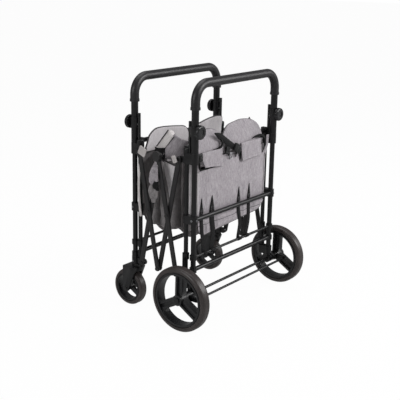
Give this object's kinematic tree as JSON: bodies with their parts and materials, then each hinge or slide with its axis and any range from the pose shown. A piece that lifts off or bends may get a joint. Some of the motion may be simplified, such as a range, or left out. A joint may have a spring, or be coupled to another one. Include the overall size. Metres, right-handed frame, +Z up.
{
  "type": "folding stroller wagon",
  "caption": "Fabric stroller wagon on a black tube frame, stood up folded on its wheels, with scissor sides, push handles with clamp knobs, spoked rear wheels and swivel casters.",
  "frame": {"origin": "on the floor, under the centre of the folded wagon's box", "axes": "+X to the wagon's right, +Y from the large rear wheels to the casters, +Z up"},
  "size_m": [0.6846, 0.495, 0.8923],
  "materials": {
    "black_steel": "satin",
    "black_plastic": "matte",
    "foam_grip": "matte",
    "tyre_rubber": "matte",
    "grey_cloth": "matte",
    "webbing": "matte"
  },
  "bodies": {
    "rear_frame": {"rear_posts": "black_steel", "rear_inner_posts": "black_steel", "rear_top_bar": "black_steel", "rear_cross_bars": "black_steel", "rear_top_brackets": "black_plastic", "rear_mid_brackets": "black_plastic", "rear_axle_brackets": "black_plastic", "rear_axle": "black_steel", "rear_panel": "grey_cloth", "rear_flaps": "grey_cloth", "rear_head_panels": "grey_cloth", "rear_backrest": "grey_cloth", "rear_straps": "webbing", "fold_strap": "webbing", "side_walls": "grey_cloth", "floor_panel": "grey_cloth"},
    "front_frame": {"front_posts": "black_steel", "front_inner_posts": "black_steel", "front_top_bar": "black_steel", "front_cross_bars": "black_steel", "front_top_brackets": "black_plastic", "front_mid_brackets": "black_plastic", "caster_housings": "black_plastic", "front_panel": "grey_cloth", "front_head_panels": "grey_cloth", "front_backrest": "grey_cloth"},
    "rear_handle": {"rear_handle_tube": "black_steel", "rear_handle_grip": "foam_grip"},
    "front_handle": {"front_handle_tube": "black_steel", "front_handle_grip": "foam_grip"},
    "brake": {"brake_levers": "black_plastic", "brake_foot_bar": "black_steel"},
    "rear_seat": {"rear_seat_pad": "grey_cloth"},
    "front_seat": {"front_seat_pad": "grey_cloth"},
    "rear_knob_left": {"rear_knob_left": "black_plastic"},
    "rear_knob_right": {"rear_knob_right": "black_plastic"},
    "front_knob_left": {"front_knob_left": "black_plastic"},
    "front_knob_right": {"front_knob_right": "black_plastic"},
    "rear_hung_link_left": {"rear_hung_link_left": "black_steel"},
    "rear_carriage_link_left": {"rear_carriage_link_left": "black_steel"},
    "rear_carriage_left": {"rear_carriage_left": "black_plastic"},
    "front_hung_link_left": {"front_hung_link_left": "black_steel"},
    "front_carriage_link_left": {"front_carriage_link_left": "black_steel"},
    "front_carriage_left": {"front_carriage_left": "black_plastic"},
    "rear_hung_link_right": {"rear_hung_link_right": "black_steel"},
    "rear_carriage_link_right": {"rear_carriage_link_right": "black_steel"},
    "rear_carriage_right": {"rear_carriage_right": "black_plastic"},
    "front_hung_link_right": {"front_hung_link_right": "black_steel"},
    "front_carriage_link_right": {"front_carriage_link_right": "black_steel"},
    "front_carriage_right": {"front_carriage_right": "black_plastic"},
    "rear_wheel_left": {"rear_rim_left": "black_plastic", "rear_tyre_left": "tyre_rubber"},
    "caster_swivel_left": {"caster_fork_left": "black_plastic"},
    "caster_wheel_left": {"caster_rim_left": "black_plastic", "caster_tyre_left": "tyre_rubber"},
    "rear_wheel_right": {"rear_rim_right": "black_plastic", "rear_tyre_right": "tyre_rubber"},
    "caster_swivel_right": {"caster_fork_right": "black_plastic"},
    "caster_wheel_right": {"caster_rim_right": "black_plastic", "caster_tyre_right": "tyre_rubber"}
  },
  "joints": [
    {"name": "unfold", "type": "slide", "parent": "rear_frame", "child": "front_frame", "axis": [0, 1, 0], "range_m": [0, 0.426], "deforming": ["side_walls", "floor_panel"]},
    {"name": "rear_handle_slide", "type": "slide", "parent": "rear_frame", "child": "rear_handle", "axis": [0, 0, 1], "range_m": [0, 0.08]},
    {"name": "rear_knob_turn_left", "type": "hinge", "parent": "rear_handle", "child": "rear_knob_left", "pos_m": [-0.247, -0.1275, 0.714], "axis": [0, -1, 0], "range_deg": [0, 270]},
    {"name": "rear_knob_turn_right", "type": "hinge", "parent": "rear_handle", "child": "rear_knob_right", "pos_m": [0.247, -0.1275, 0.714], "axis": [0, -1, 0], "range_deg": [0, 270]},
    {"name": "front_handle_slide", "type": "slide", "parent": "front_frame", "child": "front_handle", "axis": [0, 0, 1], "range_m": [0, 0.08]},
    {"name": "front_knob_turn_left", "type": "hinge", "parent": "front_handle", "child": "front_knob_left", "pos_m": [-0.247, 0.1505, 0.714], "axis": [0, 1, 0], "range_deg": [0, 270]},
    {"name": "front_knob_turn_right", "type": "hinge", "parent": "front_handle", "child": "front_knob_right", "pos_m": [0.247, 0.1505, 0.714], "axis": [0, 1, 0], "range_deg": [0, 270]},
    {"name": "rear_hung_pivot_left", "type": "hinge", "parent": "rear_frame", "child": "rear_hung_link_left", "pos_m": [-0.265, -0.0715, 0.612], "axis": [1, 0, 0], "range_deg": [0, 32.29]},
    {"name": "rear_cross_pivot_left", "type": "hinge", "parent": "rear_hung_link_left", "child": "rear_carriage_link_left", "pos_m": [-0.2755, -0.028, 0.4], "axis": [1, 0, 0], "range_deg": [-64.57, 0]},
    {"name": "rear_carriage_pivot_left", "type": "hinge", "parent": "rear_carriage_link_left", "child": "rear_carriage_left", "pos_m": [-0.2755, -0.0715, 0.188], "axis": [1, 0, 0], "range_deg": [0, 32.29]},
    {"name": "front_hung_pivot_left", "type": "hinge", "parent": "front_frame", "child": "front_hung_link_left", "pos_m": [-0.2755, 0.1025, 0.612], "axis": [1, 0, 0], "range_deg": [-32.29, 0]},
    {"name": "front_cross_pivot_left", "type": "hinge", "parent": "front_hung_link_left", "child": "front_carriage_link_left", "pos_m": [-0.2755, 0.059, 0.4], "axis": [1, 0, 0], "range_deg": [0, 64.57]},
    {"name": "front_carriage_pivot_left", "type": "hinge", "parent": "front_carriage_link_left", "child": "front_carriage_left", "pos_m": [-0.265, 0.1025, 0.188], "axis": [1, 0, 0], "range_deg": [-32.29, 0]},
    {"name": "rear_hung_pivot_right", "type": "hinge", "parent": "rear_frame", "child": "rear_hung_link_right", "pos_m": [0.265, -0.0715, 0.612], "axis": [1, 0, 0], "range_deg": [0, 32.29]},
    {"name": "rear_cross_pivot_right", "type": "hinge", "parent": "rear_hung_link_right", "child": "rear_carriage_link_right", "pos_m": [0.2755, -0.028, 0.4], "axis": [1, 0, 0], "range_deg": [-64.57, 0]},
    {"name": "rear_carriage_pivot_right", "type": "hinge", "parent": "rear_carriage_link_right", "child": "rear_carriage_right", "pos_m": [0.2755, -0.0715, 0.188], "axis": [1, 0, 0], "range_deg": [0, 32.29]},
    {"name": "front_hung_pivot_right", "type": "hinge", "parent": "front_frame", "child": "front_hung_link_right", "pos_m": [0.2755, 0.1025, 0.612], "axis": [1, 0, 0], "range_deg": [-32.29, 0]},
    {"name": "front_cross_pivot_right", "type": "hinge", "parent": "front_hung_link_right", "child": "front_carriage_link_right", "pos_m": [0.2755, 0.059, 0.4], "axis": [1, 0, 0], "range_deg": [0, 64.57]},
    {"name": "front_carriage_pivot_right", "type": "hinge", "parent": "front_carriage_link_right", "child": "front_carriage_right", "pos_m": [0.265, 0.1025, 0.188], "axis": [1, 0, 0], "range_deg": [-32.29, 0]},
    {"name": "rear_seat_fold", "type": "hinge", "parent": "rear_frame", "child": "rear_seat", "pos_m": [0, -0.0868, 0.384], "axis": [-1, 0, 0], "range_deg": [0, 90.01]},
    {"name": "front_seat_fold", "type": "hinge", "parent": "front_frame", "child": "front_seat", "pos_m": [0, 0.1098, 0.384], "axis": [1, 0, 0], "range_deg": [0, 90.01]},
    {"name": "rear_wheel_spin_left", "type": "hinge", "parent": "rear_frame", "child": "rear_wheel_left", "pos_m": [-0.316, -0.1275, 0.12], "axis": [1, 0, 0], "continuous": true},
    {"name": "caster_turn_left", "type": "hinge", "parent": "front_frame", "child": "caster_swivel_left", "pos_m": [-0.247, 0.1505, 0.16], "axis": [0, 0, 1], "continuous": true},
    {"name": "caster_spin_left", "type": "hinge", "parent": "caster_swivel_left", "child": "caster_wheel_left", "pos_m": [-0.247, 0.1765, 0.071], "axis": [1, 0, 0], "continuous": true},
    {"name": "rear_wheel_spin_right", "type": "hinge", "parent": "rear_frame", "child": "rear_wheel_right", "pos_m": [0.316, -0.1275, 0.12], "axis": [1, 0, 0], "continuous": true},
    {"name": "caster_turn_right", "type": "hinge", "parent": "front_frame", "child": "caster_swivel_right", "pos_m": [0.247, 0.1505, 0.16], "axis": [0, 0, 1], "continuous": true},
    {"name": "caster_spin_right", "type": "hinge", "parent": "caster_swivel_right", "child": "caster_wheel_right", "pos_m": [0.247, 0.1765, 0.071], "axis": [1, 0, 0], "continuous": true},
    {"name": "brake_press", "type": "hinge", "parent": "rear_frame", "child": "brake", "pos_m": [0, -0.1275, 0.12], "axis": [1, 0, 0], "range_deg": [0, 18]}
  ],
  "couplings": [
    {"joint": "rear_hung_pivot_left", "follows": "unfold", "rad_per_m": 1.3226},
    {"joint": "rear_cross_pivot_left", "follows": "unfold", "rad_per_m": -2.6451},
    {"joint": "rear_carriage_pivot_left", "follows": "unfold", "rad_per_m": 1.3226},
    {"joint": "front_hung_pivot_left", "follows": "unfold", "rad_per_m": -1.3226},
    {"joint": "front_cross_pivot_left", "follows": "unfold", "rad_per_m": 2.6451},
    {"joint": "front_carriage_pivot_left", "follows": "unfold", "rad_per_m": -1.3226},
    {"joint": "rear_hung_pivot_right", "follows": "unfold", "rad_per_m": 1.3226},
    {"joint": "rear_cross_pivot_right", "follows": "unfold", "rad_per_m": -2.6451},
    {"joint": "rear_carriage_pivot_right", "follows": "unfold", "rad_per_m": 1.3226},
    {"joint": "front_hung_pivot_right", "follows": "unfold", "rad_per_m": -1.3226},
    {"joint": "front_cross_pivot_right", "follows": "unfold", "rad_per_m": 2.6451},
    {"joint": "front_carriage_pivot_right", "follows": "unfold", "rad_per_m": -1.3226},
    {"joint": "rear_seat_fold", "follows": "unfold", "rad_per_m": 3.6873},
    {"joint": "front_seat_fold", "follows": "unfold", "rad_per_m": 3.6873}
  ]
}
